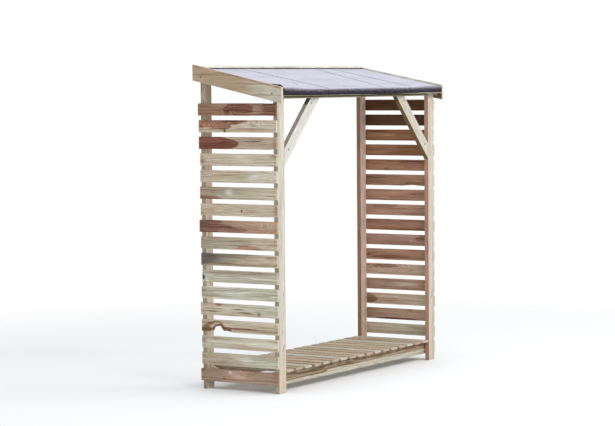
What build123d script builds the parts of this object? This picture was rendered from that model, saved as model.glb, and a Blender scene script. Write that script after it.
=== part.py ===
from build123d import *
import math
import os

os.makedirs("parts", exist_ok=True)

# Open-fronted timber log store with slatted ends, a slatted floor and a felted pent roof.
# Millimetres. X runs along the front, Y from the front to the back, Z up. The origin is on the
# ground, under the middle of the roof.

# The frame, measured over the outsides of the four posts
frame_width = 1810.0
frame_depth = 520.0
post_width = 70.0
post_depth = 28.0

# The slats of the two ends, fixed to the outsides of the posts and spaced evenly between the
# lowest one and the highest one, whose top edge is a little under the line of the front rail
slat_width = 70.0
slat_thickness = 12.0
slat_count = 17
lowest_slat_height = 48.0
top_slat_drop = 24.5

# The floor: short slats laid on a front and a back beam, spaced evenly between the posts
floor_beam_height = 76.0
floor_beam_thickness = 28.0
floor_beam_clearance = 41.0
floor_beam_setback = 7.0
floor_slat_width = 70.0
floor_slat_thickness = 12.0
floor_slat_count = 17
floor_slat_end_clearance = 8.0

# The roof falls to the front. Its heights are plumb, and its thicknesses square to the slope. Each
# barge board stands a lip above the felt at the front and lies at its own pitch from there.
roof_pitch = 11.4
roof_front_height = 1728.0
front_overhang = 51.0
back_overhang = 29.0
barge_width = 89.0
barge_thickness = 18.0
barge_lip = 9.0
left_barge_pitch = 12.3
right_barge_pitch = 11.0
bearer_thickness = 19.0
bearer_width = 45.0
roof_board_count = 6
roof_board_thickness = 14.0
roof_board_chamfer = 2.5
roof_board_tongue = 4.5
tongue_thickness = 4.5
tongue_clearance = 0.3
roof_front_radius = 12.0
roof_back_radius = 4.0
felt_thickness = 3.0
felt_turndown = 38.0
front_batten_width = 28.0
edge_batten_thickness = 25.0
cover_lath_width = 24.0
cover_lath_thickness = 11.0

# The rails under the roof and the two corner braces of the front
rail_height = 50.0
rail_thickness = 28.0
rafter_width = 28.0
rafter_height = 45.0
brace_width = 70.0
brace_angle = 45.0
left_brace_reach = 382.0
right_brace_reach = 396.0

# The worn corner of all the sawn and planed timber
arris = 2.0

# Worked out from the sizes above
slope = math.tan(math.radians(roof_pitch))
plumb = 1.0 / math.cos(math.radians(roof_pitch))
half_frame = frame_width / 2
half_clear = half_frame - post_width
roof_depth = front_overhang + frame_depth + back_overhang
roof_front = -roof_depth / 2
roof_back = roof_depth / 2
frame_front = roof_front + front_overhang
frame_back = roof_back - back_overhang
half_deck = half_frame + bearer_thickness
deck_front = roof_front + felt_thickness
deck_back = roof_back - felt_thickness


def felt_top(y):
    """Height of the roof at a place between front and back."""
    return roof_front_height - barge_lip + (y - roof_front) * slope


def deck_top(y):
    return felt_top(y) - felt_thickness * plumb


def deck_under(y):
    return deck_top(y) - roof_board_thickness * plumb


# The plane that the boards of the roof rest on, which all the timbers under them are cut to
seat_normal = (0, -math.sin(math.radians(roof_pitch)), math.cos(math.radians(roof_pitch)))
roof_seat = Plane(origin=(0, 0, deck_under(0)), z_dir=seat_normal)


def under_roof(timber):
    """Cut a timber that stands up through the roof to the slope of the boards."""
    return split(timber, bisect_by=roof_seat, keep=Keep.BOTTOM)


def timber(width, thickness, length):
    """A length of timber with worn corners, lying along X and centred on the origin."""
    section = Plane.YZ.offset(-length / 2) * RectangleRounded(width, thickness, arris)
    return extrude(section, amount=length)


def along_x(outline, start, end, rounded=0.0):
    """A timber along X whose section in Y and Z is the outline that is given."""
    section = make_face(Polyline(*outline, close=True))
    if rounded > 0:
        section = fillet(section.vertices(), rounded)
    return extrude(Plane.YZ.offset(start) * section, amount=end - start)


def sloped_section(front, back, top, drop):
    """Four corners of a piece that follows the roof: plumb at both ends, drop high."""
    return [(front, top(front) - drop), (back, top(back) - drop), (back, top(back)), (front, top(front))]


def save(name, solid):
    """Write one named piece of the store."""
    solid.label = name
    export_step(solid, f"parts/{name}.step")


# Posts and rails are made up to this height, which is over the whole roof, before they are cut
above_roof = felt_top(roof_back)
front_rail_under = deck_under(frame_front) - rail_height


# Posts: boards set with their wide face to the front, cut to the slope of the roof
def post(side, front_face):
    middle = Pos(side * (half_frame - post_width / 2), front_face + post_depth / 2)
    section = middle * RectangleRounded(post_width, post_depth, arris)
    return under_roof(extrude(section, amount=above_roof))


for side, side_name in ((-1, "left"), (1, "right")):
    save(f"{side_name}_front_post", post(side, frame_front))
    save(f"{side_name}_back_post", post(side, frame_back - post_depth))


# Ends: level slats across the outsides of the posts, flush with their front and back faces
lowest_middle = lowest_slat_height + slat_width / 2
highest_middle = front_rail_under - top_slat_drop - slat_width / 2
slat_pitch = (highest_middle - lowest_middle) / (slat_count - 1)


def end_slats(side):
    slats = []
    for row in range(slat_count):
        middle = lowest_middle + row * slat_pitch
        slat = Rot(0, 0, 90) * timber(slat_thickness, slat_width, frame_depth)
        outwards = side * (half_frame + slat_thickness / 2)
        slats.append(Pos(outwards, (frame_front + frame_back) / 2, middle) * slat)
    return Compound(children=slats)


save("left_end_slats", end_slats(-1))
save("right_end_slats", end_slats(1))

# Floor: a beam behind the front posts and one before the back posts, from end to end, which
# carry short slats that run from the front faces of the front posts to the back of the store
floor_beam_middle = floor_beam_clearance + floor_beam_height / 2
floor_beam_inset = post_depth + floor_beam_setback + floor_beam_thickness / 2
floor_beam = timber(floor_beam_thickness, floor_beam_height, frame_width)
save("front_floor_beam", Pos(0, frame_front + floor_beam_inset, floor_beam_middle) * floor_beam)
save("back_floor_beam", Pos(0, frame_back - floor_beam_inset, floor_beam_middle) * floor_beam)

first_floor_slat = -half_clear + floor_slat_end_clearance + floor_slat_width / 2
floor_slat_pitch = -2 * first_floor_slat / (floor_slat_count - 1)
floor_slat_middle = floor_beam_clearance + floor_beam_height + floor_slat_thickness / 2
floor_slat = Rot(0, 0, 90) * timber(floor_slat_width, floor_slat_thickness, frame_depth)
for number in range(floor_slat_count):
    across = first_floor_slat + number * floor_slat_pitch
    place = Pos(across, (frame_front + frame_back) / 2, floor_slat_middle)
    save(f"floor_slat_{number + 1:02d}", place * floor_slat)


# Rails: one between the front posts and one between the back posts, tight under the roof
def rail(front_face):
    back_face = front_face + rail_thickness
    under = deck_under(front_face) - rail_height
    outline = [(front_face, under), (back_face, under), (back_face, above_roof), (front_face, above_roof)]
    return under_roof(along_x(outline, -half_clear, half_clear, arris))


save("front_rail", rail(frame_front))
save("back_rail", rail(frame_back - rail_thickness))

# A rafter in the middle of the roof, butted between the two rails
rafter_outline = sloped_section(
    frame_front + rail_thickness, frame_back - rail_thickness, deck_under, rafter_height * plumb
)
save("middle_rafter", along_x(rafter_outline, -rafter_width / 2, rafter_width / 2))


# Braces: boards at 45 degrees in the upper corners of the front, cut plumb against the post
# and level under the rail
def brace(side, reach):
    # the lower edge of the board meets the post and the rail at the reach from their corner
    from_corner = reach / 2 - brace_width / 2 * math.sin(math.radians(brace_angle))
    uncut_length = 2 * reach
    board = Rot(0, brace_angle, 0) * timber(post_depth, brace_width, uncut_length)
    middle = (half_clear - from_corner, frame_front + post_depth / 2, front_rail_under - from_corner)
    board = Pos(*middle) * board
    board = split(board, bisect_by=Plane.YZ.offset(half_clear), keep=Keep.BOTTOM)
    board = split(board, bisect_by=Plane.XY.offset(front_rail_under), keep=Keep.BOTTOM)
    return board if side > 0 else mirror(board, about=Plane.YZ)


save("left_front_brace", brace(-1, left_brace_reach))
save("right_front_brace", brace(1, right_brace_reach))

# Roof bearers: along the slope at each end, outside the posts and inside the barge boards
batten_back_face = deck_front + front_batten_width
bearer_outline = sloped_section(batten_back_face, frame_back, deck_under, bearer_width * plumb)
save("left_roof_bearer", along_x(bearer_outline, -half_deck, -half_frame))
save("right_roof_bearer", along_x(bearer_outline, half_frame, half_deck))

# Edge battens: under the front and back edges of the boards, from barge board to barge board.
# The back one fills the overhang behind the posts.
batten_drop = edge_batten_thickness * plumb
front_batten = sloped_section(deck_front, batten_back_face, deck_under, batten_drop)
back_batten = sloped_section(frame_back, deck_back, deck_under, batten_drop)
save("front_edge_batten", along_x(front_batten, -half_deck, half_deck))
save("back_edge_batten", along_x(back_batten, -half_deck, half_deck))

# Roof boards: tongued and grooved, laid from end to end with a V joint on the underside
board_run = (deck_back - deck_front) / roof_board_count


def tongue_section(edge, spare):
    """A tongue that stands up the slope from an edge, or with some to spare, its groove."""
    depth = roof_board_tongue + spare
    height = tongue_thickness * plumb + 2 * spare
    middle = (roof_board_thickness * plumb + height) / 2
    return sloped_section(edge, edge + depth, lambda y: deck_under(y) + middle, height)


def lower_corner(edge, is_square, inwards):
    """The lower corner of a board, square or cut for a V joint, from its edge inwards."""
    if is_square:
        return [(edge, deck_under(edge))]
    inner = edge + inwards * roof_board_chamfer
    return [(edge, deck_under(edge) + roof_board_chamfer), (inner, deck_under(inner))]


def roof_board(number):
    front = deck_front + number * board_run
    back = front + board_run
    is_first = number == 0
    is_last = number == roof_board_count - 1
    underside = lower_corner(front, is_first, 1) + lower_corner(back, is_last, -1)[::-1]
    outline = underside + [(back, deck_top(back)), (front, deck_top(front))]
    board = along_x(outline, -half_deck, half_deck)
    if not is_first:
        board = board - along_x(tongue_section(front, tongue_clearance), -half_deck, half_deck)
    if not is_last:
        board = board + along_x(tongue_section(back, 0), -half_deck, half_deck)
    return board


def rounded_roof(outline, grown):
    """The roof from end to end, its front and back edges rounded on top, or that much outside it."""
    section = make_face(Polyline(*outline, close=True))
    square_to_slope = Axis((0, 0, 0), (seat_normal[1], seat_normal[2], 0))
    for along, radius in ((0, roof_front_radius), (-1, roof_back_radius)):
        top_corners = section.vertices().sort_by(square_to_slope)[-2:].sort_by(Axis.X)
        section = fillet(top_corners[along], radius + grown)
    return extrude(Plane.YZ.offset(-half_deck) * section, amount=2 * half_deck)


# What the felt lies on: the boards, and under them the battens and their place down to the foot
# of the barge boards
felt_bed = rounded_roof(sloped_section(deck_front, deck_back, deck_top, barge_width), 0)
for number in range(roof_board_count):
    save(f"roof_board_{number + 1}", roof_board(number) & felt_bed)

# Felt: one covering over the boards, turned down over the front and back edges
felt_outline = sloped_section(roof_front, roof_back, felt_top, felt_turndown)
save("roof_felt", rounded_roof(felt_outline, felt_thickness) - felt_bed)

# Cover lath: holds the felt down along the back edge
lath_drop = -cover_lath_thickness * plumb
lath_outline = sloped_section(roof_back - cover_lath_width, roof_back, felt_top, lath_drop)
save("back_cover_lath", along_x(lath_outline, -half_deck, half_deck))

# Barge boards: close the two ends of the roof, plumb cut, and stand a little above the felt
def barge_board(inner_face, pitch):
    rise = math.tan(math.radians(pitch))
    plumb_width = barge_width / math.cos(math.radians(pitch))
    outline = sloped_section(
        roof_front, roof_back, lambda y: roof_front_height + (y - roof_front) * rise, plumb_width
    )
    return along_x(outline, inner_face, inner_face + barge_thickness, arris)


save("left_barge_board", barge_board(-half_deck - barge_thickness, left_barge_pitch))
save("right_barge_board", barge_board(half_deck, right_barge_pitch))
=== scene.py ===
import math

import bmesh
import bpy
from mathutils import Matrix, Vector, noise


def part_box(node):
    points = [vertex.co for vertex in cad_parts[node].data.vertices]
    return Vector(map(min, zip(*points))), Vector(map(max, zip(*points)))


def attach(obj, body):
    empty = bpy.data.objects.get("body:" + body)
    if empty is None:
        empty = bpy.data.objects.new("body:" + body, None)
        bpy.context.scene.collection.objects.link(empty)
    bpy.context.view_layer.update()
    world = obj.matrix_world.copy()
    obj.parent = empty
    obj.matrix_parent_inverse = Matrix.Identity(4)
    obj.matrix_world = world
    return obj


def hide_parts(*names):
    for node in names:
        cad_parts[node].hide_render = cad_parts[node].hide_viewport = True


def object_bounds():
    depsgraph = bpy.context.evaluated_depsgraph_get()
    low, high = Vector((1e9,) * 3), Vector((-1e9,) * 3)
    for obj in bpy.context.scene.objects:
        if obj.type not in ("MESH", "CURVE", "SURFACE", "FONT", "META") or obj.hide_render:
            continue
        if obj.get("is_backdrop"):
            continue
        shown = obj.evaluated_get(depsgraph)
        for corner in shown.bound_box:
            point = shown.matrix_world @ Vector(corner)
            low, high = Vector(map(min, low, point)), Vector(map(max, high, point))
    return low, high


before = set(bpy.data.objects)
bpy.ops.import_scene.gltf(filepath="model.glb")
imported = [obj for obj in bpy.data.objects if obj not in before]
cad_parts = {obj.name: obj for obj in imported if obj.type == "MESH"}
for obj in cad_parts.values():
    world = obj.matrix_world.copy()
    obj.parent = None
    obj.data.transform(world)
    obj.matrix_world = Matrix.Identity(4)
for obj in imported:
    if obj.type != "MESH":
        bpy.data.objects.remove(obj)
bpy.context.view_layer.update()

# POSTS
# Four sawn softwood boards, pressure treated, set with the wide face to the front. They stand on
# their sawn lower ends and are cut to the slope of the roof.


def add(tree, kind, inputs=None, **settings):
    """A node with its settings made and its inputs, by name or number, set or linked."""
    made = tree.nodes.new(kind)
    for name, value in settings.items():
        setattr(made, name, value)
    for name, value in (inputs or {}).items():
        if isinstance(value, bpy.types.NodeSocket):
            tree.links.new(value, made.inputs[name])
        else:
            made.inputs[name].default_value = value
    return made


def maths(tree, operation, *values):
    return add(tree, "ShaderNodeMath", dict(enumerate(values)), operation=operation).outputs[0]


def product(tree, *values):
    """The values multiplied, one after the other."""
    made = values[0]
    for value in values[1:]:
        made = maths(tree, "MULTIPLY", made, value)
    return made


def vectors(tree, operation, *values, out=0):
    made = add(tree, "ShaderNodeVectorMath", dict(enumerate(values)), operation=operation)
    return made.outputs[out]


def extent(tree, vector, direction):
    """How far a vector reaches along a direction."""
    return vectors(tree, "DOT_PRODUCT", vector, direction, out=1)


def parts_of(tree, vector):
    return add(tree, "ShaderNodeSeparateXYZ", {0: vector}).outputs


def joined(tree, *parts):
    return add(tree, "ShaderNodeCombineXYZ", dict(enumerate(parts))).outputs[0]


def ease(tree, value, low, high, start=0.0, stop=1.0):
    """A value carried smoothly from one range to another, and held at its ends."""
    inputs = {"Value": value, "From Min": low, "From Max": high, "To Min": start, "To Max": stop}
    return add(tree, "ShaderNodeMapRange", inputs, interpolation_type="SMOOTHSTEP").outputs[0]


def mix(tree, share, first, second, way="MIX"):
    colours = {0: share, 6: first, 7: second}
    return add(tree, "ShaderNodeMix", colours, data_type="RGBA", blend_type=way).outputs[2]


def own_place(tree):
    """Where the surface is, in metres from the part's origin."""
    return add(tree, "ShaderNodeTexCoord").outputs["Object"]


def cloud(tree, place, per_metre, detail=2.0, roughness=0.5):
    """Noise with so many cells a metre along each of the three directions, or along all."""
    cells = per_metre if isinstance(per_metre, tuple) else (per_metre,) * 3
    scaled = vectors(tree, "MULTIPLY", place, cells)
    inputs = {"Vector": scaled, "Scale": 1.0, "Detail": detail, "Roughness": roughness}
    return add(tree, "ShaderNodeTexNoise", inputs).outputs[0]


def new_group(name, inputs, outputs):
    """An empty node group with its sockets, and the nodes that hold its inputs and outputs."""
    group = bpy.data.node_groups.new(name, "ShaderNodeTree")
    for way, sockets in (("INPUT", inputs), ("OUTPUT", outputs)):
        for socket, kind in sockets.items():
            group.interface.new_socket(socket, in_out=way, socket_type="NodeSocket" + kind)
    given, result = group.nodes.new("NodeGroupInput"), group.nodes.new("NodeGroupOutput")
    return group, given.outputs, result.inputs


def timber_group():
    """Softwood as a solid: growth rings round a pith, so that faces show grain and ends show arcs.
    It has a tone, and a second one, the mark, where the wood is of another colour."""
    masks = {name: "Float" for name in ("Marked", "Grain", "Seed", "End")}
    inputs = {"Board": "Vector", "Tone": "Color", "Mark": "Color", **masks}
    outputs = {"Color": "Color", "Roughness": "Float", "Height": "Float"}
    tree, given, result = new_group("timber", inputs, outputs)
    board = given["Board"]
    # Each board has its own place in the patterns, up to this many metres off
    furthest = (31.0, 17.0, 11.0)
    chance = add(tree, "ShaderNodeTexWhiteNoise", {"W": given["Seed"]}, noise_dimensions="1D")
    chance = chance.outputs["Color"]
    chances = parts_of(tree, chance)
    place = vectors(tree, "ADD", board, vectors(tree, "MULTIPLY", chance, furthest))

    # Knots, each a spike through the board, with the grain swept round it
    spikes_per_metre, knotless_share = (6.0, 10.0, 2.0), 0.7
    spikes = {"Vector": vectors(tree, "MULTIPLY", place, spikes_per_metre), "Scale": 1.0}
    spikes = add(tree, "ShaderNodeTexVoronoi", spikes).outputs
    spike_chance = parts_of(tree, spikes["Color"])
    is_knot = maths(tree, "GREATER_THAN", spike_chance[0], knotless_share)
    uneven = maths(tree, "MULTIPLY_ADD", cloud(tree, place, 90.0), 0.05, -0.025)
    from_knot = maths(tree, "ADD", spikes["Distance"], uneven)
    knot_radius = ease(tree, spike_chance[1], 0.0, 1.0, 0.035, 0.11)
    past_knot = maths(tree, "SUBTRACT", from_knot, knot_radius)
    at_bark = ease(tree, maths(tree, "ABSOLUTE", past_knot), 0.0, 0.018, 1.0, 0.0)
    bark_ring = product(tree, is_knot, at_bark)
    knot = product(tree, is_knot, ease(tree, past_knot, -0.02, 0.015, 1.0, 0.0))
    halo = product(tree, is_knot, ease(tree, past_knot, 0.0, 0.16, 1.0, 0.0))
    sweep = product(tree, is_knot, ease(tree, from_knot, 0.05, 0.45, 1.0, 0.0))

    # Growth rings, each dark where its late wood ends
    ring_width = 0.0068
    axes = parts_of(tree, board)
    wander = maths(tree, "SUBTRACT", cloud(tree, place, (2.6, 9, 9), 3.0), 0.5)
    across = maths(tree, "ADD", axes[1], maths(tree, "MULTIPLY_ADD", chances[0], 0.15, -0.075))
    across = maths(tree, "MULTIPLY_ADD", wander, 0.07, across)
    deep = maths(tree, "ADD", axes[2], maths(tree, "MULTIPLY_ADD", chances[1], 0.06, 0.022))
    radius = maths(tree, "ADD", product(tree, across, across), product(tree, deep, deep))
    radius = maths(tree, "MULTIPLY_ADD", sweep, 0.018, maths(tree, "SQRT", radius))
    ring = maths(tree, "FRACT", maths(tree, "DIVIDE", radius, ring_width))
    late = product(tree, maths(tree, "POWER", ring, 2.0), ease(tree, ring, 0.88, 1.0, 1.0, 0.0))

    # Broad bands, streaks and fibres along the grain, blotches, and the fine splits of drying
    band = cloud(tree, place, (1.3, 24, 24), 4.0, 0.62)
    streak = cloud(tree, place, (3, 95, 95), 4.0, 0.7)
    fibre = cloud(tree, place, (14, 520, 520), 3.0, 0.65)
    blotch = cloud(tree, place, (7, 17, 17), 5.0, 0.65)
    from_split = maths(tree, "SUBTRACT", cloud(tree, place, (1.5, 42, 42), 1.0), 0.5)
    from_split = maths(tree, "ABSOLUTE", from_split)
    split_here = ease(tree, cloud(tree, place, (3.1, 15, 15), 1.0), 0.53, 0.64)
    split = product(tree, ease(tree, from_split, 0.0, 0.012, 1.0, 0.0), split_here)

    def times(colour, share, tint):
        """The colour with this share of it multiplied by the tint."""
        return mix(tree, share, colour, (*tint, 1), "MULTIPLY")

    ragged = cloud(tree, place, (6, 45, 45), 4.0, 0.65)
    ragged = maths(tree, "MULTIPLY_ADD", ragged, 1.1, -0.55)
    marked = ease(tree, maths(tree, "ADD", given["Marked"], ragged), 0.4, 0.6)
    colour = mix(tree, marked, given["Tone"], given["Mark"])
    # Where each of these shows, its tint and how much of it, times the strength of the grain
    for shown, tint, share in (
        (ease(tree, band, 0.5, 0.66), (0.8, 0.7, 0.62), 1.0),
        (ease(tree, band, 0.48, 0.34), (1.1, 1.11, 1.11), 1.0),
        (ease(tree, streak, 0.51, 0.68), (0.64, 0.55, 0.48), 1.0),
        (ease(tree, streak, 0.47, 0.32), (1.15, 1.15, 1.14), 1.0),
        (ease(tree, blotch, 0.52, 0.66), (0.88, 0.93, 0.86), 0.8),
        (ease(tree, blotch, 0.46, 0.32), (0.86, 0.76, 0.7), 0.8),
        (late, (0.52, 0.4, 0.32), 0.9),
        (product(tree, marked, late), (0.55, 0.48, 0.45), 1.0),
        (product(tree, marked, ease(tree, band, 0.5, 0.4)), (1.35, 1.4, 1.42), 0.8),
        (product(tree, marked, ease(tree, streak, 0.5, 0.6)), (0.66, 0.6, 0.6), 1.0),
    ):
        colour = times(colour, product(tree, shown, product(tree, given["Grain"], share)), tint)
    colour = times(colour, product(tree, halo, 0.55), (0.74, 0.56, 0.43))
    for shown, share, wood in (
        (knot, 0.75, (0.19, 0.095, 0.05, 1)),
        (bark_ring, 0.8, (0.05, 0.03, 0.02, 1)),
        (split, 0.8, (0.05, 0.036, 0.026, 1)),
    ):
        colour = mix(tree, product(tree, shown, share), colour, wood)
    fibre_shade = ease(tree, fibre, 0.25, 0.75, 0.74, 1.22)
    colour = mix(tree, 1.0, colour, joined(tree, *[fibre_shade] * 3), "MULTIPLY")
    end_wood = times(given["Tone"], 1.0, (0.92, 0.9, 0.86))
    colour = mix(tree, product(tree, given["End"], 0.65), colour, end_wood)
    tree.links.new(colour, result["Color"])
    tree.links.new(ease(tree, fibre, 0.2, 0.8, 0.92, 0.72), result["Roughness"])

    # The marks of the saw, and what stands up from them or, at the splits, goes down
    saw_place = vectors(tree, "MULTIPLY", place, (1.0, 0.12, 0.12))
    saw = {"Vector": saw_place, "Scale": 34.0, "Distortion": 2.0, "Detail": 2.0}
    saw = add(tree, "ShaderNodeTexWave", saw, bands_direction="X").outputs["Fac"]
    height = product(tree, saw, ease(tree, blotch, 0.4, 0.62, 0.0, 0.3))
    for shown, rise in ((fibre, 0.55), (late, 0.3), (knot, 0.5), (split, -1.6)):
        height = maths(tree, "MULTIPLY_ADD", shown, rise, height)
    tree.links.new(height, result["Height"])
    return tree


timber = timber_group()
along_x, along_y, along_z = (1, 0, 0), (0, 1, 0), (0, 0, 1)
against_x, against_y = (-1, 0, 0), (0, -1, 0)


def new_material(name):
    """A material that is still plain, and its nodes."""
    material = bpy.data.materials.new(name)
    material.use_nodes = True
    return material, material.node_tree


def coat(tree, colour, roughness, height, strength, depth):
    """Gives a material its colour, roughness and relief, and hands back its shader's inputs."""
    inputs = tree.nodes["Principled BSDF"].inputs
    relief = {"Height": height, "Strength": strength, "Distance": depth}
    relief = add(tree, "ShaderNodeBump", relief).outputs["Normal"]
    for name, value in (("Base Color", colour), ("Roughness", roughness), ("Normal", relief)):
        tree.links.new(value, inputs[name])
    return inputs


def timber_material(name, sources):
    """A material for sawn softwood. Each source of the timber group is a value or a function that
    makes it in the material's own tree."""
    material, tree = new_material(name)
    made = {socket: value(tree) if callable(value) else value for socket, value in sources.items()}
    wood = add(tree, "ShaderNodeGroup", made, node_tree=timber).outputs
    inputs = coat(tree, wood["Color"], wood["Roughness"], wood["Height"], 0.6, 0.0007)
    inputs["Specular IOR Level"].default_value = 0.25
    return material


def facing(tree, direction):
    """How far the surface faces in a direction, from -1 to 1."""
    return extent(tree, add(tree, "ShaderNodeTexCoord").outputs["Normal"], direction)


def sawn_end(along):
    """Shows where a board is cut across its grain, at both its ends."""
    return lambda tree: ease(tree, maths(tree, "ABSOLUTE", facing(tree, along)), 0.6, 0.8)


def dress(node, along, wide, seed, tone, mark=(0.3, 0.2, 0.1), marked=0.0, grain=0.75):
    """Gives a CAD timber its own piece of softwood: along its grain and across its wide face. The
    tone is a colour or a function that makes it, the mark is a second colour, and marked a value or
    a function for where that shows. The grain is how strongly that stands out."""
    low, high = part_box(node)
    middle = (low + high) / 2
    along, wide = Vector(along).normalized(), Vector(wide).normalized()

    def board(tree):
        here = vectors(tree, "SUBTRACT", own_place(tree), middle)
        axes = along, wide, along.cross(wide)
        return joined(tree, *(extent(tree, here, axis) for axis in axes))

    sources = {"Board": board, "Tone": tone if callable(tone) else (*tone, 1), "Mark": (*mark, 1)}
    sources.update({"Marked": marked, "Grain": grain, "Seed": seed, "End": sawn_end(along)})
    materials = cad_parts[node].data.materials
    materials.clear()
    materials.append(timber_material(node + "_softwood", sources))


# Masks run a little past 0 and 1, so that what they mark has a firm border


def side(direction):
    """Marked all over the face that looks this way."""
    return lambda tree: ease(tree, facing(tree, direction), 0.2, 0.7, -0.2, 1.3)


def past(direction, start, stop):
    """Marked from one distance along a direction to another, in metres from the part's origin."""
    def mask(tree):
        return ease(tree, extent(tree, own_place(tree), direction), start, stop, -0.2, 1.2)
    return mask


def both(*masks):
    """Marked where all of these masks are."""
    return lambda tree: product(tree, *(mask(tree) for mask in masks))


def slit(middle, along, length, width):
    """Marked on a narrow line in a face that looks forwards, slanted along a direction."""
    along = Vector(along).normalized()

    def mask(tree):
        here = vectors(tree, "SUBTRACT", own_place(tree), middle)
        lengthways, sideways = (
            maths(tree, "ABSOLUTE", extent(tree, here, axis))
            for axis in (along, along.cross(along_y))
        )
        reach = ease(tree, lengthways, length / 2, length / 4)
        return product(tree, reach, ease(tree, sideways, width / 2, width / 6))
    return mask


def layered(tone, *layers):
    """A tone with others laid over it, each where its mask shows."""
    def colour(tree):
        made = (*tone, 1)
        for over, mask in layers:
            made = mix(tree, mask(tree), made, (*over, 1))
        return made
    return colour


cream = (0.58, 0.545, 0.465)
tan = (0.5, 0.4, 0.29)
rosy = (0.74, 0.58, 0.49)
umber = (0.3, 0.18, 0.125)
# Redder towards the foot, with one dark split in the front face
red_foot = ((0.63, 0.53, 0.4), past((0, 0, -1), -0.3, -0.04))
foot_split = both(slit((-0.86, -0.26, 0.256), (0.024, 0, 0.045), 0.056, 0.009), side(against_y))
sides = (tan, side(along_x)), ((0.435, 0.385, 0.275), side(against_x))
post_tones = layered(cream, red_foot, *sides, (umber, foot_split))
dress("left_front_post", along_z, along_x, 3.0, post_tones, grain=0.55)
# Painted shade: the left back post is darker towards its top, where the roof shades it
shaded = ((0.56, 0.475, 0.36), past(along_z, 1.05, 1.5))
post_tones = layered((0.76, 0.66, 0.54), shaded, ((0.44, 0.375, 0.27), side(against_x)))
dress("left_back_post", along_z, along_x, 4.0, post_tones)
red_edge = ((0.6, 0.48, 0.4), past(against_x, -0.885, -0.845))
# The right front post's face into the store is redder and darker: partly sheltered wood, partly
# painted shade inside the store
post_tones = layered((0.54, 0.52, 0.43), red_edge, ((0.45, 0.28, 0.205), side(against_x)))
dress("right_front_post", along_z, along_x, 5.0, post_tones, grain=0.5)
# The right back post's face into the store is umber: partly sheltered wood, partly painted shade
# inside the store
dress("right_back_post", along_z, along_x, 6.0, layered(rosy, (umber, side(against_x))))

# END SLATS
# Seventeen level sawn slats on the outside of each end, nailed to the posts. Each is its own board:
# some hold red heartwood, some are stained or bleached in places, and one has lost a knot.

slat_count = 17
hues = {
    "cream": (0.72, 0.65, 0.53),
    "straw": (0.63, 0.55, 0.42),
    "tan": (0.54, 0.44, 0.33),
    "drab": (0.39, 0.345, 0.255),
    "moss": (0.64, 0.64, 0.52),
    "pink": (0.57, 0.4, 0.31),
    "fawn": (0.44, 0.305, 0.225),
    "brown": (0.34, 0.2, 0.13),
    "rust": (0.32, 0.155, 0.1),
    "brick": (0.44, 0.235, 0.155),
    "copper": (0.54, 0.34, 0.24),
    "wine": (0.24, 0.09, 0.062),
    "plum": (0.27, 0.135, 0.1),
    "slate": (0.155, 0.14, 0.108),
    "bleached": (0.74, 0.74, 0.66),
    "bark": (0.16, 0.085, 0.055),
    "russet": (0.385, 0.26, 0.19),
    "walnut": (0.33, 0.2, 0.12),
    "ash": (0.3, 0.24, 0.225),
    # The right end's inner faces: redder, partly from the wood and partly as painted shade inside
    #     # the store, and darker towards the roof as painted shade under it
    "peat": (0.13, 0.058, 0.024),
    "cocoa": (0.115, 0.056, 0.029),
    "cork": (0.3, 0.15, 0.075),
    "oak": (0.37, 0.19, 0.105),
    "honey": (0.43, 0.235, 0.14),
    "acorn": (0.35, 0.2, 0.125),
    "biscuit": (0.44, 0.26, 0.175),
    "salmon": (0.47, 0.285, 0.205),
    "clay": (0.34, 0.18, 0.135),
    "shell": (0.46, 0.29, 0.24),
}
# These blend into a slat's tone, and the others stand on it as marks with a ragged border
soft_hues = "bleached", "cream", "straw", "tan", "drab", "moss", "fawn", "pink", "slate", "ash"
# The right end's outer faces and front ends, as pale as the left end's
outer_hues = "straw", "cream", "moss", "tan", "cream"
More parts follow.
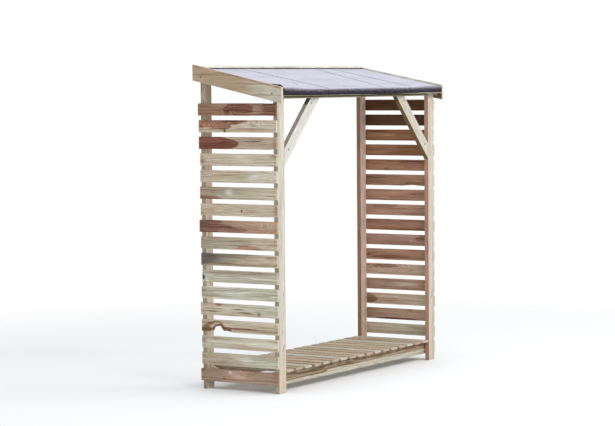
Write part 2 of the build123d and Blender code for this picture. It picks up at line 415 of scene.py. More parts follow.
# From the top slat down: its hue in front and behind, and what lies on it, each with its hue, where
# it is strongest along the slat (0 front, 1 back) and across it (1 top edge, -1 bottom edge), and
# how far it reaches each way. Where the reach along is negative, it is a ring
left_slats = [
    ("brown", "brown", [
        ("rust", 0.48, 0.0, 0.18, 1.2), ("rust", 0.03, -0.3, 0.13, 1.3),
        ("fawn", 0.72, 0.7, 0.14, 0.7), ("fawn", 0.24, 0.2, 0.1, 1.2),
    ]),
    ("cream", "straw", [
        ("brick", 1.0, 0.7, 0.46, 0.95), ("brick", 0.78, 0.5, 0.2, 0.95),
        ("brick", 0.68, 0.15, 0.1, 0.8), ("brick", 0.56, 1.0, 0.2, 0.7),
        ("bark", 0.66, -0.8, 0.012, 0.2),
    ]),
    ("tan", "tan", [
        ("wine", 1.02, 0.0, 0.4, 2.2), ("wine", 0.66, -0.1, 0.17, 0.85),
        ("fawn", 0.0, 0.0, 0.07, 1.6),
    ]),
    ("straw", "straw", [
        ("cream", 0.45, 0.3, 0.2, 1.0), ("fawn", 0.97, -0.2, 0.06, 0.8),
        ("fawn", 0.04, 0.6, 0.07, 0.4),
    ]),
    ("cream", "straw", [("bleached", 0.3, 0.1, 0.1, 1.3), ("tan", 0.98, 0.8, 0.25, 0.4)]),
    ("straw", "drab", [
        ("fawn", 0.98, 0.0, 0.22, 1.4), ("brown", 0.98, -0.9, 0.28, 0.4),
        ("bleached", 0.62, 0.2, 0.07, 0.6), ("brown", 0.08, -0.3, 0.1, 0.1),
    ]),
    ("straw", "straw", [
        ("fawn", 0.0, 0.0, 0.06, 1.5), ("bark", 0.46, -0.1, 0.012, 0.25),
        ("tan", 0.7, 0.9, 0.3, 0.4),
    ]),
    ("copper", "russet", [
        ("plum", 0.98, 0.1, 0.32, 1.7), ("plum", 0.7, 0.0, 0.14, 0.35),
        ("plum", 0.55, -0.5, 0.2, 0.3), ("tan", 0.12, 0.2, 0.2, 0.8),
    ]),
    ("straw", "drab", [
        ("copper", 0.38, -1.0, 0.16, 0.75), ("tan", 0.03, 0.3, 0.06, 1.0),
        ("drab", 0.9, -0.8, 0.3, 0.6),
    ]),
    ("straw", "straw", [
        ("slate", 1.0, 0.3, 0.62, 2.2), ("slate", 0.55, 1.0, 0.5, 0.45),
        ("fawn", 0.1, 0.5, 0.1, 0.4),
    ]),
    ("moss", "moss", [("bark", 0.99, -0.2, 0.03, 0.4), ("drab", 0.5, 0.7, 0.9, 0.7)]),
    ("moss", "moss", [("bleached", 0.55, 0.1, 0.25, 0.8), ("tan", 0.97, 0.3, 0.07, 0.7)]),
    ("moss", "straw", [
        ("copper", 0.765, 1.0, 0.045, 0.5), ("bark", 0.5, 0.11, 0.11, 0.1),
        ("brown", 0.85, -0.33, 0.13, 0.1), ("brown", 0.44, -0.32, 0.1, 0.1),
        ("brown", 0.34, -0.48, 0.08, 0.1), ("brown", 0.12, -0.42, 0.09, 0.07),
        ("ash", 0.243, -0.45, 0.036, 0.5),
    ]),
    ("straw", "straw", [
        ("walnut", 0.94, -0.62, 0.075, 0.5), ("walnut", 0.835, -0.6, -0.118, 1.05),
        ("fawn", 0.94, -0.3, 0.09, 0.9), ("brown", 0.48, -0.33, 0.24, 0.15),
    ]),
    ("cream", "moss", [("tan", 0.5, -0.25, 0.4, 0.1), ("fawn", 0.97, 0.2, 0.05, 0.6)]),
    ("moss", "tan", [("bleached", 0.4, 0.2, 0.2, 0.7), ("tan", 0.9, -0.6, 0.2, 0.3)]),
    ("russet", "russet", [
        ("pink", 0.5, 0.3, 0.22, 1.2), ("bleached", 0.62, 0.6, 0.03, 0.3),
        ("rust", 0.7, -0.3, 0.022, 0.35), ("fawn", 0.3, -0.8, 0.35, 0.4),
    ]),
]
# The right end's rows, top first: the darkest top rows are painted shade under the roof
right_slats = [
    ("peat", "peat", [("cork", 0.5, 1.0, 0.7, 0.18)]),
    ("cocoa", "cocoa", []),
    ("cork", "cork", [("oak", 0.8, 0.2, 0.3, 0.5)]),
    ("cork", "oak", [("honey", 0.75, -0.3, 0.2, 0.5)]),
    ("honey", "honey", [("clay", 0.3, 0.5, 0.2, 0.3)]),
    ("biscuit", "acorn", [("clay", 0.9, 0.8, 0.3, 0.4)]),
    ("salmon", "biscuit", [("clay", 0.25, 0.3, 0.15, 0.3)]),
    ("salmon", "salmon", [("clay", 0.7, 0.7, 0.2, 0.3)]),
    ("clay", "clay", [("cork", 0.5, -0.8, 0.4, 0.4)]),
    ("shell", "shell", [("clay", 0.15, 0.4, 0.12, 0.5)]),
    ("biscuit", "salmon", [("clay", 0.6, -0.5, 0.3, 0.3)]),
    ("tan", "pink", [("brown", 0.7, 0.6, 0.2, 0.3)]),
    ("salmon", "fawn", [("straw", 0.4, 0.0, 0.3, 0.5)]),
    ("straw", "pink", [("brown", 0.9, 0.0, 0.1, 0.8)]),
    ("pink", "fawn", [("rust", 0.5, -0.9, 0.3, 0.3)]),
    ("moss", "straw", [("tan", 0.2, 0.3, 0.3, 0.5)]),
    ("fawn", "pink", [("brown", 0.5, 0.4, 0.3, 0.3)]),
]
# Slats, by row, cut longer or shorter than the rest, so that they end elsewhere behind
overruns = {
    "left": {0: 0.013, 1: 0.008, 2: 0.008, 5: 0.003, 7: 0.009, 10: -0.007, 12: 0.006, 16: 0.008},
    "right": {3: 0.005, 9: -0.004},
}
# Missing wood, by row: place along the slat, half length, depth in metres, top or bottom edge
chips = {
    "left": {
        0: [(0.06, 0.14, 0.002, 1)],
        13: [(0.785, 0.075, 0.036, -1), (0.7, 0.12, 0.01, -1)],
    },
    "right": {5: [(0.3, 0.12, 0.005, -1)]},
}


def mesh_from(made, name):
    """The finished bmesh as a mesh."""
    mesh = bpy.data.meshes.new(name)
    made.to_mesh(mesh)
    made.free()
    return mesh


def new_piece(mesh):
    """An object for a finished mesh, under the mesh's name."""
    piece = bpy.data.objects.new(mesh.name, mesh)
    bpy.context.scene.collection.objects.link(piece)
    return piece


slats_low, slats_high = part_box("left_end_slats")
slat_height, worn_radius = 0.07, 0.0018
slat_thickness = slats_high.x - slats_low.x
slat_depth = slats_high.y - slats_low.y
slat_pitch = (slats_high.z - slats_low.z - slat_height) / (slat_count - 1)
made = bmesh.new()
bmesh.ops.create_cube(made, size=1.0)
bmesh.ops.scale(made, vec=(slat_thickness, slat_depth, slat_height), verts=made.verts)
bmesh.ops.bevel(
    made, geom=made.edges[:], offset=worn_radius,
    affect="EDGES", segments=2, profile=0.5, material=-1,
)
# Cut across and along often enough to be bent and chipped
for pieces, size, way in ((72, slat_depth, along_y), (9, slat_height, along_z)):
    for step in range(1, pieces):
        geometry = made.verts[:] + made.edges[:] + made.faces[:]
        place = [size * (step / pieces - 0.5) * part for part in way]
        bmesh.ops.bisect_plane(made, geom=geometry, plane_co=place, plane_no=way)
plain_slat = mesh_from(made, "slat_template")


def end_slats(end, rows, face):
    """All the slats of one end as one piece, with what sets each board apart kept at its points."""
    made = bmesh.new()
    middle_y = (slats_low.y + slats_high.y) / 2
    layers = made.verts.layers
    board = layers.float_vector.new("Board")
    tone, mark = layers.float_color.new("Tone"), layers.float_color.new("Mark")
    seed, marked = layers.float.new("Seed"), layers.float.new("Marked")
    outwards = -1 if end == "left" else 1
    for row, (front_tone, back_tone, marks) in enumerate(rows):
        known = set(made.verts)
        made.from_mesh(plain_slat)
        middle_z = slats_high.z - slat_height / 2 - row * slat_pitch
        number = row + (0 if end == "left" else 40)
        first_mark = next((hue for hue, *_ in marks if hue not in soft_hues), front_tone)
        for vert in (v for v in made.verts if v not in known):
            x, y, z = vert.co
            back = y / slat_depth + 0.5
            level = z / (slat_height / 2)
            vert[board] = (y, z, x * outwards)
            shade = Vector(hues[front_tone]).lerp(Vector(hues[back_tone]), back)
            if end == "right" and (x > 0 or back < 0.005):
                shade = Vector(hues[outer_hues[row % len(outer_hues)]])
            vert[seed] = number
            vert[mark] = (*hues[first_mark], 1)
            vert[marked] = -1.0
            for hue, at, height, reach, spread in marks:
                off_centre = math.hypot((back - at) / reach, (level - height) / spread)
                near_mark = 1.5 - (off_centre if reach > 0 else 4 * abs(off_centre - 1))
                if hue in soft_hues:
                    share = min(1.0, max(0.0, near_mark - 0.2)) ** 2
                    shade = shade.lerp(Vector(hues[hue]), share)
                elif near_mark > vert[marked]:
                    vert[marked] = near_mark
                    vert[mark] = (*hues[hue], 1)
            vert[tone] = (*shade, 1)
            y += overruns[end].get(row, 0.0) * back
            # Edges that wander by up to 0.8 mm, and an outer face by up to 0.4 mm
            edge = noise.noise(Vector((y * 14, number * 3.7, 1.0 if z > 0 else 5.0))) * 0.0008
            surface = noise.noise(Vector((y * 9, z * 30, number * 5.1))) * 0.0004
            z -= math.copysign(abs(edge), z)
            if x * outwards > 0:
                x -= outwards * abs(surface)
            for at, length, depth, on_top in chips[end].get(row, ()):
                near = max(0.0, 1 - abs(back - at) / length)
                ragged = 0.8 + 0.6 * noise.noise(Vector((y * 70, number, 2.0)))
                z -= on_top * min(1.0, 1.8 * near) * depth * ragged * (1 + level * on_top) / 2
                if near > 0.15 and level * on_top > 0.4:  # the wood that a chip bares
                    vert[marked] = 1.2
                    vert[mark] = (*hues["walnut"], 1)
            vert.co = (face + x, middle_y + y, middle_z + z)
    worn = new_piece(mesh_from(made, f"{end}_end_slats_worn"))
    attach(worn, "root")
    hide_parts(f"{end}_end_slats")
    return worn


def stored(name, output="Fac"):
    """What a piece keeps at its points under this name."""
    return lambda tree: add(tree, "ShaderNodeAttribute", attribute_name=name).outputs[output]


kept = {"Board": "Vector", "Tone": "Color", "Mark": "Color", "Marked": "Fac", "Seed": "Fac"}
slat_sources = {name: stored(name, output) for name, output in kept.items()}
slat_sources.update({"Grain": 1.0, "End": sawn_end(along_y)})
slat_softwood = timber_material("slat_softwood", slat_sources)
for end, rows in (("left", left_slats), ("right", right_slats)):
    low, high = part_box(f"{end}_end_slats")
    end_slats(end, rows, (low.x + high.x) / 2).data.materials.append(slat_softwood)


def fastenings(name, head, places, outwards, metal):
    """Copies of one head, modelled facing +Z, set on a face that looks outwards, as one piece."""
    made = bmesh.new()
    turn = Vector(outwards).to_track_quat("Z", "Y").to_matrix().to_4x4()
    for place in places:
        known = set(made.verts)
        made.from_mesh(head)
        spin = Matrix.Rotation(40.0 * place[0] + 70.0 * place[1] + 90.0 * place[2], 4, "Z")
        put = Matrix.Translation(Vector(place)) @ turn @ spin
        bmesh.ops.transform(made, matrix=put, verts=[v for v in made.verts if v not in known])
    mesh = mesh_from(made, name)
    mesh.materials.append(metal)
    piece = new_piece(mesh)
    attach(piece, "root")


def metal_material(name, colour, rusty):
    """Coated steel, spotted with rust. Rusty is how much, from 0 to 1."""
    material, tree = new_material(name)
    here = own_place(tree)
    spots = cloud(tree, here, 260, 4.0, 0.65)
    rust = ease(tree, spots, 0.62 - rusty * 0.3, 0.72 - rusty * 0.3)
    grain = cloud(tree, here, 1500, 2.0)
    coating = mix(tree, grain, (*(0.75 * part for part in colour), 1), (*colour, 1))
    colour = mix(tree, rust, coating, (0.11, 0.045, 0.02, 1))
    roughness = ease(tree, maths(tree, "ADD", rust, grain), 0.3, 1.3, 0.42, 0.85)
    inputs = coat(tree, colour, roughness, spots, 0.4, 0.0004)
    tree.links.new(ease(tree, rust, 0.0, 1.0, 0.75, 0.0), inputs["Metallic"])
    return material


nail_metal = metal_material("nail_metal", (0.2, 0.18, 0.16), 0.55)
nail_radius, nail_rise, nail_wander = 0.003, 0.0006, 0.003
# Two nails at each crossing, set this share of the slat's width from its middle
slat_shares, floor_shares = (-0.26, 0.24), (-0.27, 0.25)
made = bmesh.new()
bmesh.ops.create_uvsphere(made, u_segments=14, v_segments=6, radius=nail_radius)
bmesh.ops.scale(made, vec=(1, 1, nail_rise / nail_radius), verts=made.verts)
nail_head = mesh_from(made, "nail_head")
for end, outwards in (("left", against_x), ("right", along_x)):
    face = slats_low.x if end == "left" else -slats_low.x
    slat_nails = []
    for row in range(slat_count):
        for post in ("front", "back"):
            post_low, post_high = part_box(f"{end}_{post}_post")
            for share in slat_shares:
                middle = (post_low.y + post_high.y) / 2 + nail_wander * math.sin(4.0 * row + share)
                height = slats_high.z - slat_height / 2 - row * slat_pitch + share * slat_height
                slat_nails.append((face, middle, height))
    fastenings(f"{end}_slat_nails", nail_head, slat_nails, outwards, nail_metal)

# FLOOR
# Two beams on edge carry seventeen short slats laid from front to back, with gaps that let air up
# between them. All are sawn softwood, nailed down.

straw = (0.56, 0.48, 0.37)
# Painted shadow: the overhanging slat ends shade the front beam's top edge
painted_slat_shadow = past(along_z, 0.068, 0.078)
dark_left_end = both(past(against_x, 0.26, 0.42), past(along_z, 0.056, 0.066))


def painted_shadow_and_left_dark(tree):
    """Painted shade of the slat ends along the top edge, darker further down at the left end."""
    return maths(tree, "MAXIMUM", painted_slat_shadow(tree), dark_left_end(tree))


sapwood = layered((0.6, 0.575, 0.49), ((0.52, 0.5, 0.405), past(along_x, 0.1, 0.4)))
dress("front_floor_beam", along_x, along_z, 11.0, sapwood, (0.35, 0.265, 0.175), painted_shadow_and_left_dark)
dress("back_floor_beam", along_x, along_z, 12.0, tan)
beams = [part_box(f"{end}_floor_beam") for end in ("front", "back")]
floor_slat_count = 17
floor_nails = []
for number in range(floor_slat_count):
    node = f"floor_slat_{number + 1:02d}"
    dress(node, along_y, along_x, 60.0 + number, (straw, tan, cream, tan)[number % 4])
    low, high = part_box(node)
    shift = 0.002 * math.sin(5.0 * number)
    for beam_low, beam_high in beams:
        for share in floor_shares:
            across = (low.x + high.x) / 2 + share * (high.x - low.x) + shift
            middle = (beam_low.y + beam_high.y) / 2 + nail_wander * math.sin(3.0 * number + share)
            floor_nails.append((across, middle, high.z))
fastenings("floor_nails", nail_head, floor_nails, along_z, nail_metal)

# RAILS AND RAFTER
# Sawn boards on edge under the roof: one rail between the front posts, one between the back posts,
# and a rafter from one to the other.

roof_pitch = math.radians(11.4)
fall = math.tan(roof_pitch)
down_slope = (0, math.cos(roof_pitch), math.sin(roof_pitch))
off_slope = (0, -math.sin(roof_pitch), math.cos(roof_pitch))
rail_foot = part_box("front_rail")[0].z
# Painted shadow of the eaves: the front rail's face is near black above its lowest few millimetres
painted_eave_shadow = both(past(along_z, rail_foot + 0.004, rail_foot + 0.009), side(against_y))
rail_tones = layered((0.4, 0.34, 0.24), ((0.11, 0.095, 0.055), painted_eave_shadow))
dress("front_rail", along_x, along_z, 21.0, rail_tones)
dress("back_rail", along_x, along_z, 22.0, tan)
hidden_tone = (0.44, 0.33, 0.23)
dress("middle_rafter", down_slope, along_z, 23.0, hidden_tone)

# BRACES
# Two short boards at 45 degrees in the upper corners of the front, cut to fit the post and the rail
# and screwed to them.

# Painted shade: each brace's narrow face towards the left is darker, darkest near its head
head = past(along_z, 1.6, 1.655)
under = side((-1, 0, 1))
painted_shade_tones = ((0.42, 0.395, 0.385), under), ((0.12, 0.09, 0.075), both(under, head))
brace_tones = layered((0.62, 0.605, 0.555), *painted_shade_tones)
dress("left_front_brace", (1, 0, 1), (1, 0, -1), 31.0, brace_tones, grain=0.5)
under = side((-1, 0, -1))
painted_shade_tones = ((0.165, 0.11, 0.043), under), ((0.1, 0.06, 0.02), both(under, head))
brace_tones = layered(cream, *painted_shade_tones)
dress("right_front_brace", (-1, 0, 1), (1, 0, 1), 32.0, brace_tones, grain=0.5)

# BEARERS AND BATTENS
# Small sawn timbers under the edges of the roof: a bearer along each end, and a batten along the
# front and back that the felt is turned down over.

for number, end in enumerate(("left", "right")):
    dress(f"{end}_roof_bearer", down_slope, along_z, 41.0 + number, hidden_tone)
# The front batten's dark tone is painted shade under the turned-down felt
dress("front_edge_batten", along_x, along_z, 43.0, (0.3, 0.275, 0.2))
dress("back_edge_batten", along_x, along_z, 44.0, (0.5, 0.44, 0.34))

# ROOF BOARDS
# Six planed boards, tongued and grooved, laid from end to end. They show from below, with a V at
# each joint.

for number in range(6):
    dress(f"roof_board_{number + 1}", along_x, down_slope, 51.0 + number, (0.5, 0.39, 0.27))

# ROOFING FELT
# Four strips of bitumen felt with a fine mineral face, laid down the slope, each lapped over the
# # one to its left. They are turned down over the front and back edges, where the mineral has worn;
# # down the front the darkening towards the hem is partly painted shade. The free edge has torn and
# # curled at the left front corner.

felt_low, felt_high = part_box("roof_felt")
sheet_thickness, lap, turndown = 0.0013, 0.06, 0.038
# The places of the seams in front and behind
seams = ((-0.434, -0.47), (0.205, 0.35), (0.545, 0.545))
front_radius, back_radius = 0.015, 0.007
front_bend, back_bend = math.pi / 2 - roof_pitch, math.pi / 2 + roof_pitch
back_top = felt_high.z + back_radius * (math.tan(back_bend / 2) - 1)
front_top = back_top - fall * (felt_high.y - felt_low.y)
torn_behind, torn_rise, torn_width = -0.15, 0.0225, 0.024
# The places of points across a strip: fine at its left edge, and then at even steps
edge_reaches, even_step = [0.0, 0.003, 0.006, 0.01, 0.015], 0.02
# How far the front hem hangs below its line, from place to place along it
hem_sags = (
    (-0.94, -0.003), (-0.56, 0.002), (-0.2, 0.001), (0.28, 0.005), (0.74, -0.004), (0.94, -0.005)
)


def felt_path():
    """The outside of the felt from the front hem over the roof to the back hem: place, height and
    the way that it faces, in the plane of Y and Z."""
    points = []

    def straight(start, stop, angle, steps):
        for step in range(1, steps + 1):
            points.append((*start.lerp(stop, step / steps), angle))

    def bend(centre, radius, start, turn, steps):
        for step in range(1, steps + 1):
            angle = start - turn * step / steps
            y, z = centre[0] + radius * math.cos(angle), centre[1] + radius * math.sin(angle)
            points.append((y, z, angle))

    front_reach = front_radius * math.tan(front_bend / 2)
    back_reach = back_radius * math.tan(back_bend / 2)
    front_hem = Vector((felt_low.y, front_top - turndown))
    points.append((*front_hem, math.pi))
    straight(front_hem, Vector((felt_low.y, front_top - front_reach)), math.pi, 6)
    front_centre = Vector((felt_low.y + front_radius, front_top - front_reach))
    bend(front_centre, front_radius, math.pi, front_bend, 10)
    upwards = Vector((math.cos(roof_pitch), math.sin(roof_pitch)))
    slope_end = Vector((felt_high.y, back_top)) - upwards * back_reach
    slope_angle = math.pi - front_bend
    straight(Vector(points[-1][:2]), slope_end, slope_angle, 72)
    back_centre = Vector((felt_high.y - back_radius, back_top - back_reach))
    bend(back_centre, back_radius, slope_angle, back_bend, 8)
    straight(Vector(points[-1][:2]), Vector((felt_high.y, back_top - turndown)), 0.0, 6)
    return points


def hem_sag(x):
    """The sag at one place, run smoothly between the places that are given."""
    for (before, low), (after, high) in zip(hem_sags, hem_sags[1:]):
        if x <= after:
            share = (x - before) / (after - before)
            return low + (high - low) * (3 - 2 * share) * share ** 2
    return hem_sags[-1][1]


def ease_down(share):
    """One up to a share of one, and from there down to none by a half more."""
    return min(1.0, max(0.0, 3.0 - 2.0 * share))


def felt_strip(number, starts, stops, lapped, torn):
    """One strip of felt, given where its left and right edges stand in front and behind. Its left
    edge lies over the strip before it if it is lapped, and is torn in front if it is torn."""
    path = felt_path()
    made = bmesh.new()
    under = made.verts.layers.float.new("Under")
    width = stops[0] - starts[0]
    steps = round(width / even_step)
    reaches = edge_reaches + [width * step / steps for step in range(1, steps + 1)]
    sheets = []
    for inner in (False, True):
        sheet = []
        for reach in reaches:
            over = ease_down(reach / lap) if lapped else 0.0
            curl = max(0.0, 1 - reach / torn_width) ** 1.4 if torn else 0.0
            row = []
            for y, z, angle in path:
                back = (y - felt_low.y) / (felt_high.y - felt_low.y)
                start = starts[0] + (starts[1] - starts[0]) * back
                stop = stops[0] + (stops[1] - stops[0]) * back
                x = start + (stop - start) * reach / width
                uneven = 0.0005 * noise.noise(Vector((x * 6, y * 10, 3.0)))
                out = uneven - 0.0005 - sheet_thickness * (1 - over)
                out -= sheet_thickness if inner else 0.0
                y, z = y + out * math.cos(angle), z + out * math.sin(angle)
                if angle > math.pi - 0.01:
                    sag = hem_sag(x) + 0.001 * noise.noise(Vector((x * 9.0, 0.0, 9.0)))
                    z -= sag * (front_top - 0.012 - z) / turndown
                if curl and y < torn_behind:
                    ragged = 1.0 + 0.25 * noise.noise(Vector((0.0, y * 75, 4.0)))
                    reached = min(1.0, (torn_behind - y) / 0.15) ** 0.6
                    bent = min(1.0, (math.pi - angle) / front_bend)
                    lift = torn_rise * curl * ragged * reached * bent
                    y = max(felt_low.y, y + lift * math.cos(angle))
                    z += lift * math.sin(angle)
                row.append(made.verts.new((x, y, z)))
                bare_edge = 0.55 + 0.9 * noise.noise(Vector((number * 3.0, y * 40, 6.0)))
                bare_edge *= max(0.0, 1 - reach / 0.006)
                row[-1][under] = 1.0 if inner else bare_edge if lapped else 0.0
            sheet.append(row)
        sheets.append(sheet)
    outer, inside = sheets
    for column in range(len(reaches) - 1):
        for step in range(len(path) - 1):
            for sheet in sheets:
                row, after = sheet[column], sheet[column + 1]
                made.faces.new((row[step], after[step], after[step + 1], row[step + 1]))
        for step in (0, -1):
            (a, b), (c, d) = ((sheet[column][step], sheet[column + 1][step]) for sheet in sheets)
            made.faces.new((a, b, d, c))
    for column in (0, -1):
        row, after = outer[column], inside[column]
        for step in range(len(path) - 1):
            made.faces.new((row[step], row[step + 1], after[step + 1], after[step]))
    bmesh.ops.recalc_face_normals(made, faces=made.faces[:])
    mesh = mesh_from(made, f"felt_strip_{number}")
    mesh.shade_smooth()
    mesh.materials.append(mineral_felt)
    strip = new_piece(mesh)
    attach(strip, "root")
    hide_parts("roof_felt")


mineral_felt, tree = new_material("mineral_felt")
here = own_place(tree)
grit = cloud(tree, here, 650, 2.0, 0.7)
patches = cloud(tree, here, 55, 4.0, 0.65)
speckle = cloud(tree, here, (90, 140, 140), 4.0, 0.7)
clouds = cloud(tree, here, (3, 9, 9), 4.0, 0.62)
across, inwards = extent(tree, here, along_x), extent(tree, here, along_y)
# The depth below the roof's plane, where the mineral wears off, most at the ends of the front.
# # Down the turned-down front the darkening is partly worn mineral, partly painted shade
wear_and_shade_depth, allowance = 0.0062, 0.0012
below = extent(tree, here, (0, fall, -1))
plane = front_top - fall * felt_low.y - sheet_thickness - allowance
below = maths(tree, "ADD", below, plane)
left_end = ease(tree, across, -0.92, -0.62, 1.0, 0.0)
at_ends = maths(tree, "MAXIMUM", left_end, ease(tree, across, 0.45, 0.9, 0.0, 0.7))
near_edge = ease(tree, inwards, felt_low.y + 0.012, felt_low.y + 0.058, 0.0065, 0.0)
below = maths(tree, "MAXIMUM", maths(tree, "MULTIPLY_ADD", at_ends, near_edge, below), 0.0)
below = product(tree, below, ease(tree, speckle, 0.32, 0.68, 0.55, 1.6))
left_on = maths(tree, "EXPONENT", maths(tree, "DIVIDE", below, -wear_and_shade_depth))
bare_and_shade = maths(tree, "SUBTRACT", 1.0, left_on)
# Near black along the front edge over the last 30 mm at the left end
corner = felt_low.x + 0.03
front_edge_strip = ease(tree, inwards, felt_low.y + 0.014, felt_low.y + 0.008)
dark_front_corner = product(tree, ease(tree, across, corner, corner - 0.006), front_edge_strip)
bare_and_shade = maths(tree, "MAXIMUM", bare_and_shade, dark_front_corner)
bare_and_shade = maths(tree, "MAXIMUM", bare_and_shade, stored("Under")(tree))
scuffs = (-0.552, -0.137, 1.748), (-0.152, -0.239, 1.728), (-0.6, -0.19, 1.737)
for place in scuffs:
    away = vectors(tree, "DISTANCE", here, place, out=1)
    away = maths(tree, "MULTIPLY_ADD", maths(tree, "SUBTRACT", patches, 0.5), 0.03, away)
    bare_and_shade = maths(tree, "MAXIMUM", bare_and_shade, ease(tree, away, 0.006, 0.014, 0.8, 0.0))
grit_shade = ease(tree, grit, 0.3, 0.7)
mineral = mix(tree, grit_shade, (0.4, 0.388, 0.445, 1), (0.63, 0.612, 0.7, 1))
darker = ease(tree, clouds, 0.42, 0.66, 0.0, 0.35)
mineral = mix(tree, darker, mineral, (0.36, 0.345, 0.4, 1))
paler = ease(tree, patches, 0.6, 0.72, 0.0, 0.3)
mineral = mix(tree, paler, mineral, (0.64, 0.62, 0.7, 1))
bitumen = mix(tree, grit_shade, (0.004, 0.003, 0.005, 1), (0.02, 0.015, 0.027, 1))
colour, roughness = mix(tree, bare_and_shade, mineral, bitumen), ease(tree, grit, 0.3, 0.7, 0.55, 0.75)
inputs = coat(tree, colour, roughness, grit, 0.35, 0.0006)
inputs["Specular IOR Level"].default_value = 0.1
edges = [(felt_low.x, felt_low.x), *seams, (felt_high.x, felt_high.x)]
for number, (starts, stops) in enumerate(zip(edges, edges[1:])):
    first, last = number == 0, number == len(seams)
    run_on = 0.0 if last else lap
    felt_strip(number + 1, starts, (stops[0] + run_on, stops[1] + run_on), not first, first)

# COVER LATH
# A thin sawn lath nailed along the back edge to hold the felt down, with a near-black bead along
# # its foot.

dress("back_cover_lath", along_x, down_slope, 71.0, (0.76, 0.74, 0.68))
lath_low, lath_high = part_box("back_cover_lath")
lath_length = lath_high.x - lath_low.x
nail_inset, nail_count = 0.08, 7
middle = (lath_low.y + lath_high.y) / 2
lath_nails = []
for number in range(nail_count):
    spaced = number * (lath_length - 2 * nail_inset) / (nail_count - 1)
    place = (lath_low.x + nail_inset + spaced, middle, lath_high.z - fall * (lath_high.y - middle))
    lath_nails.append(place)
fastenings("lath_nails", nail_head, lath_nails, off_slope, nail_metal)

dark_foot_bead, tree = new_material("dark_foot_bead")
lumps = cloud(tree, own_place(tree), 300, 3.0)
colour = mix(tree, lumps, (0.006, 0.005, 0.006, 1), (0.03, 0.025, 0.028, 1))
coat(tree, colour, ease(tree, lumps, 0.3, 0.7, 0.55, 0.75), lumps, 0.5, 0.0006)
bead_width, bead_height, bead_sink = 0.0044, 0.0056, 0.0012
bead_steps, bead_turns = 180, 6
made = bmesh.new()
rows = []
foot = Vector((lath_low.y, front_top + fall * (lath_low.y - felt_low.y)))
for step in range(bead_steps + 1):
    x = lath_low.x + lath_length * step / bead_steps
    swell = 1 + 0.25 * noise.noise(Vector((x * 35, 2.0, 7.0)))
    row = []
    for turn in range(bead_turns + 1):
        angle = math.pi / 2 + math.pi / 2 * turn / bead_turns
        out, up = bead_width * swell * math.cos(angle), bead_height * swell * math.sin(angle)
        row.append(made.verts.new((x, foot.x + out, foot.y + fall * out + up - bead_sink)))
    row.append(made.verts.new((x, foot.x + 0.0005, foot.y - bead_sink)))
    rows.append(row)
for row, after in zip(rows, rows[1:]):
    for turn in range(len(row)):
        made.faces.new((row[turn - 1], row[turn], after[turn], after[turn - 1]))
made.faces.new(rows[0])
made.faces.new(rows[-1])
bmesh.ops.recalc_face_normals(made, faces=made.faces[:])
mesh = mesh_from(made, "lath_bead")
mesh.shade_smooth()
mesh.materials.append(dark_foot_bead)
bead = new_piece(mesh)
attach(bead, "root")

# BARGE BOARDS
# A sawn board screwed to each end of the roof, cut plumb in front and behind, standing a little
# above the felt. Two countersunk screws go through each into the posts, and two more hold each
# brace.

left_pitch, right_pitch = math.radians(12.3), math.radians(11.0)
left_rise, right_rise = math.tan(left_pitch), math.tan(right_pitch)
# The height of each board's top edge over the part's origin
left_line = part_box("left_barge_board")[1].z - left_rise * felt_high.y
right_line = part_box("right_barge_board")[1].z - right_rise * felt_high.y
red_top = past((0, -left_rise, 1), left_line - 0.016, left_line - 0.006)
outside = side(against_x)
browned = ((0.47, 0.36, 0.24), both(past(along_y, -0.3, 0.1), outside))
slope = (0, math.cos(left_pitch), math.sin(left_pitch))
board_tones, red = layered((0.6, 0.57, 0.465), browned), (0.5, 0.35, 0.25)
dress("left_barge_board", slope, along_z, 81.0, board_tones, red, both(red_top, outside), 0.55)
# The right board's inner face is pale above the felt and dark below it: partly sheltered wood,
# # partly painted shade under the roof
from_felt_down = past((0, right_rise, -1), 0.013 - right_line, 0.016 - right_line)
sheltered_and_shaded = ((0.17, 0.115, 0.07), both(from_felt_down, side(against_x)))
slope = (0, math.cos(right_pitch), math.sin(right_pitch))
board_tones = layered((0.62, 0.6, 0.52), sheltered_and_shaded)
dress("right_barge_board", slope, along_z, 82.0, board_tones, grain=0.6)

# The screw heads are near black and take in the countersunk hole round them: partly dark steel,
# partly painted shade of the hole
screw_and_hole_shade = metal_material("screw_and_hole_shade", (0.014, 0.012, 0.011), 0.25)
screw_radius, screw_rise, cross_depth, rim_points = 0.0052, 0.0003, 0.0015, 24
made = bmesh.new()
turns = [math.tau * point / rim_points for point in range(rim_points)]
rim = [(screw_radius * math.cos(turn), screw_radius * math.sin(turn)) for turn in turns]
wide, slim = screw_radius * 0.55, screw_radius * 0.16
cross = [(slim, wide), (slim, slim), (wide, slim), (wide, -slim), (slim, -slim), (slim, -wide)]
cross += [(-x, -y) for x, y in cross]
top_rings = []
for outline, depth, taper in ((rim, -0.001, 1.0), (cross, screw_rise - cross_depth, 0.7)):
    upper = [made.verts.new((x, y, screw_rise)) for x, y in outline]
    lower = [made.verts.new((x * taper, y * taper, depth)) for x, y in outline]
    for point in range(len(outline)):
        before = point - 1
        made.faces.new((upper[before], upper[point], lower[point], lower[before]))
    made.faces.new(lower)
    top_rings += [made.edges.get((upper[point - 1], upper[point])) for point in range(len(upper))]
bmesh.ops.triangle_fill(made, edges=top_rings, use_beauty=True, normal=along_z)
bmesh.ops.recalc_face_normals(made, faces=made.faces[:])
screw_head = mesh_from(made, "screw_head")
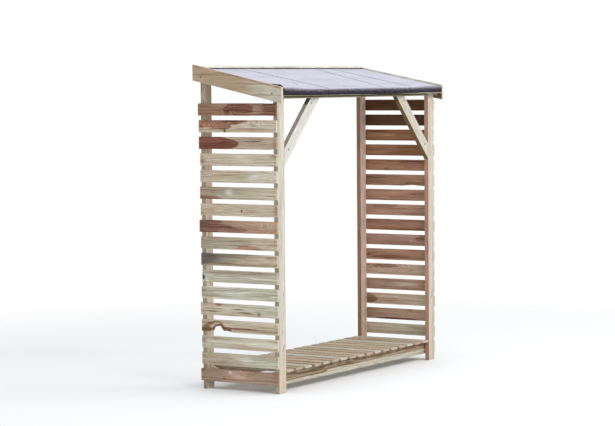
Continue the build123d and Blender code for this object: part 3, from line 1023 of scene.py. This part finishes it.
for end, outwards, rise in (("left", against_x, left_rise), ("right", along_x, right_rise)):
    low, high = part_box(f"{end}_barge_board")
    face = (low.x if end == "left" else high.x) - screw_rise * outwards[0]
    places = []
    for post, drop, ahead in (("front", 0.004, 0.002), ("back", 0.014, 0.013)):
        post_low, post_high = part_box(f"{end}_{post}_post")
        middle = (post_low.y + post_high.y) / 2 - ahead
        board_middle = (low.z + high.z) / 2 + (middle - (low.y + high.y) / 2) * rise
        places.append((face, middle, board_middle - drop))
    fastenings(f"{end}_barge_screws", screw_head, places, outwards, screw_and_hole_shade)
    low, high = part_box(f"{end}_front_brace")
    inwards = -outwards[0]
    at_post, at_rail = (low.x, high.x)[::inwards]
    places = [
        (at_post + 0.045 * inwards, low.y, low.z + 0.095),
        (at_rail - 0.089 * inwards, low.y, high.z - 0.029),
    ]
    fastenings(f"{end}_brace_screws", screw_head, places, against_y, screw_and_hole_shade)

# STAGE AND LIGHT
# A pale floor that fades out of sight, a soft sky all round, a broad lamp overhead and a row of
# three lamps in front.

floor_reach, fade_start, fade_stop = 30.0, 1.2, 5.0
made = bmesh.new()
bmesh.ops.create_grid(made, x_segments=1, y_segments=1, size=floor_reach)
floor_mesh = mesh_from(made, "studio_floor")
studio_floor = new_piece(floor_mesh)
studio_floor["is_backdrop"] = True
floor_material, tree = new_material("studio_floor")
shader = tree.nodes["Principled BSDF"]
shader.inputs["Base Color"].default_value = (0.88, 0.88, 0.88, 1)
shader.inputs["Roughness"].default_value = 0.9
away = vectors(tree, "LENGTH", own_place(tree), out=1)
seen = add(tree, "ShaderNodeLightPath").outputs["Is Camera Ray"]
gone = product(tree, ease(tree, away, fade_start, fade_stop), seen)
clear = add(tree, "ShaderNodeBsdfTransparent").outputs[0]
shown = add(tree, "ShaderNodeMixShader", {0: gone, 1: shader.outputs[0], 2: clear}).outputs[0]
tree.links.new(shown, tree.nodes["Material Output"].inputs["Surface"])
floor_mesh.materials.append(floor_material)

world = bpy.data.worlds.new("studio")
bpy.context.scene.world = world
world.use_nodes = True
tree = world.node_tree
path = add(tree, "ShaderNodeLightPath").outputs
seen = maths(tree, "MAXIMUM", path["Is Glossy Ray"], path["Is Transmission Ray"])
seen = maths(tree, "MAXIMUM", path["Is Camera Ray"], seen)
sky = {"Color": (0.92, 0.96, 1.0, 1), "Strength": 0.86}
sky = add(tree, "ShaderNodeBackground", sky).outputs[0]
white = {"Color": (1, 1, 1, 1), "Strength": 1.0}
white = add(tree, "ShaderNodeBackground", white).outputs[0]
shown = add(tree, "ShaderNodeMixShader", {0: seen, 1: sky, 2: white}).outputs[0]
tree.links.new(shown, tree.nodes["World Output"].inputs["Surface"])


def lamp(name, place, aim, width, power):
    """A square soft lamp."""
    light = bpy.data.lights.new(name, "AREA")
    light.size, light.energy = width, power
    made = bpy.data.objects.new(name, light)
    made.location = place
    made.rotation_mode = "QUATERNION"
    made.rotation_quaternion = (Vector(aim) - Vector(place)).to_track_quat("-Z", "Y")
    bpy.context.scene.collection.objects.link(made)


for number, across in enumerate((-2.4, 0.0, 2.4)):
    lamp(f"front_lamp_{number + 1}", (across, -4.6, 4.0), (0, 0, 0.9), 2.0, 62.0)
lamp("overhead_lamp", (0, 0, 5.5), (0, 0, 0.8), 4.0, 36.0)

# CAMERA
# The photograph's viewpoint: well back, to the left of the front, a little under the roof's
# height. The focal length is in pixels of the image.

image_width, focal_length = 615, 2239.0
camera_turn, camera_dip, camera_roll = 1.0128, 0.0595, -0.0078
turn_x, turn_y = math.sin(camera_turn), math.cos(camera_turn)
level = math.cos(camera_dip)
sight = Vector((turn_x * level, turn_y * level, -math.sin(camera_dip)))
level_right = Vector((turn_y, -turn_x, 0))
level_up = level_right.cross(sight)
right = level_right * math.cos(camera_roll) + level_up * math.sin(camera_roll)
up = level_up * math.cos(camera_roll) - level_right * math.sin(camera_roll)
camera_data = bpy.data.cameras.new("camera")
camera_data.sensor_width = 36.0
camera_data.lens = focal_length / image_width * camera_data.sensor_width
camera = bpy.data.objects.new("camera", camera_data)
camera.matrix_world = Matrix((right, up, -sight)).transposed().to_4x4()
camera.location = (-11.4407, -7.0184, 1.7678)
bpy.context.scene.collection.objects.link(camera)
bpy.context.scene.camera = camera
bpy.context.scene.view_settings.view_transform = "Standard"

low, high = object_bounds()
